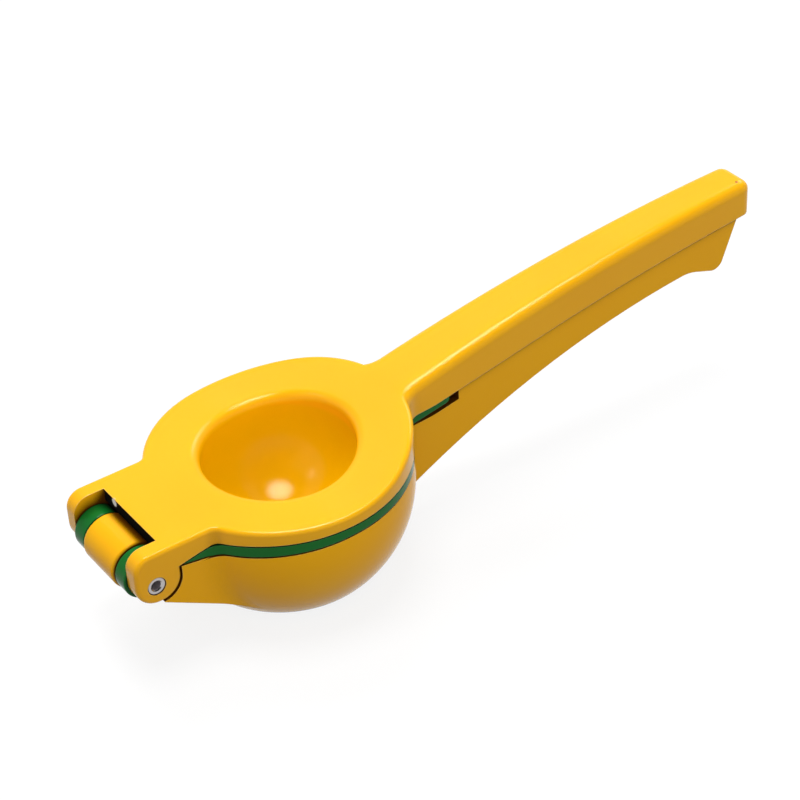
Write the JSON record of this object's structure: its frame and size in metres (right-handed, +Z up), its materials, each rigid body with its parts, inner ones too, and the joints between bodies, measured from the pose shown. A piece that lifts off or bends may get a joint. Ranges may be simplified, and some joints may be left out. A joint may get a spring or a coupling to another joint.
{
  "type": "hinged lemon squeezer",
  "caption": "Hand-held lever press with a round slotted bowl, a smaller cup nested in it and a hollow dome plunger above, all turning on one cross pin; long arched handles.",
  "frame": {"origin": "middle of the flat land under the lemon bowl, on the bowl's axis", "axes": "+Z up along the bowl's axis, at right angles to the flat ring top; +X towards the handles; +Y across, along the hinge pin"},
  "size_m": [0.2293, 0.077, 0.0652],
  "materials": {
    "yellow_enamel": "glossy baked enamel on cast aluminium",
    "green_enamel": "glossy baked enamel on cast aluminium",
    "pin_steel": "bright turned steel"
  },
  "bodies": {
    "lower": {"lower_lever": "yellow_enamel"},
    "cup": {"lime_cup": "green_enamel"},
    "upper": {"upper_lever": "yellow_enamel", "hinge_pin": "pin_steel"}
  },
  "joints": [
    {"name": "cup_hinge", "type": "hinge", "parent": "lower", "child": "cup", "pos_m": [-0.0523, 0, 0.0292], "axis": [0, -1, 0], "range_deg": [0, 55]},
    {"name": "lever_hinge", "type": "hinge", "parent": "cup", "child": "upper", "pos_m": [-0.0523, 0, 0.0292], "axis": [0, -1, 0], "range_deg": [0, 60]}
  ]
}
